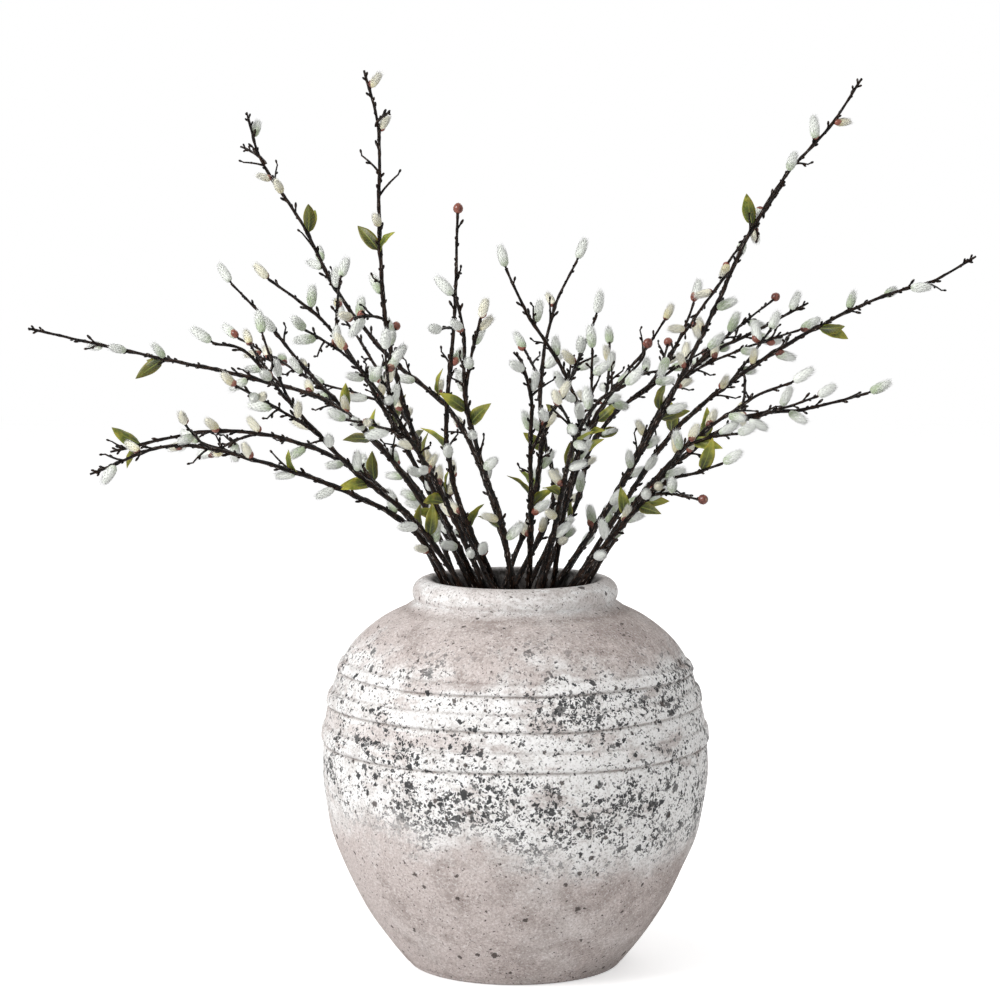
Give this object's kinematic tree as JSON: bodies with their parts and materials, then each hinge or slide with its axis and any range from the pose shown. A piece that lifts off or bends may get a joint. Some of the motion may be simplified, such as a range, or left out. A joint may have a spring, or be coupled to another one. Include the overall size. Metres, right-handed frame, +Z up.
{
  "type": "branches in vase",
  "caption": "Wide round clay vase with a weathered whitewashed finish, holding a loose spray of pussy willow branches with catkins, buds and small leaves.",
  "frame": {"origin": "centre of the vase's flat base, on the surface that it stands on", "axes": "+Z up along the vase's axis, -Y towards the viewer of the picture, +X to the viewer's right"},
  "size_m": [0.9566, 0.5596, 0.8692],
  "materials": {
    "vase_clay": "rough weathered whitewash over pink-grey clay",
    "bark": "dark brown bark with a slight gloss",
    "catkin_silver": "silver-white fur over pale green",
    "catkin_cream": "cream fur",
    "bud_scale": "red-brown smooth bud scale",
    "leaf": "olive green, satin"
  },
  "bodies": {
    "root": {"vase": "vase_clay", "branch_01": "bark", "branch_02": "bark", "branch_03": "bark", "branch_04": "bark", "branch_05": "bark", "branch_06": "bark", "branch_07": "bark", "branch_08": "bark", "branch_09": "bark", "branch_10": "bark", "branch_11": "bark", "branch_12": "bark", "branch_13": "bark", "branch_14": "bark", "branch_15": "bark", "branch_16": "bark", "branch_17": "bark", "branch_18": "bark", "branch_19": "bark", "branch_20": "bark", "branch_21": "bark", "branch_22": "bark", "branch_23": "bark", "branch_24": "bark", "branch_25": "bark", "branch_26": "bark"}
  },
  "joints": []
}
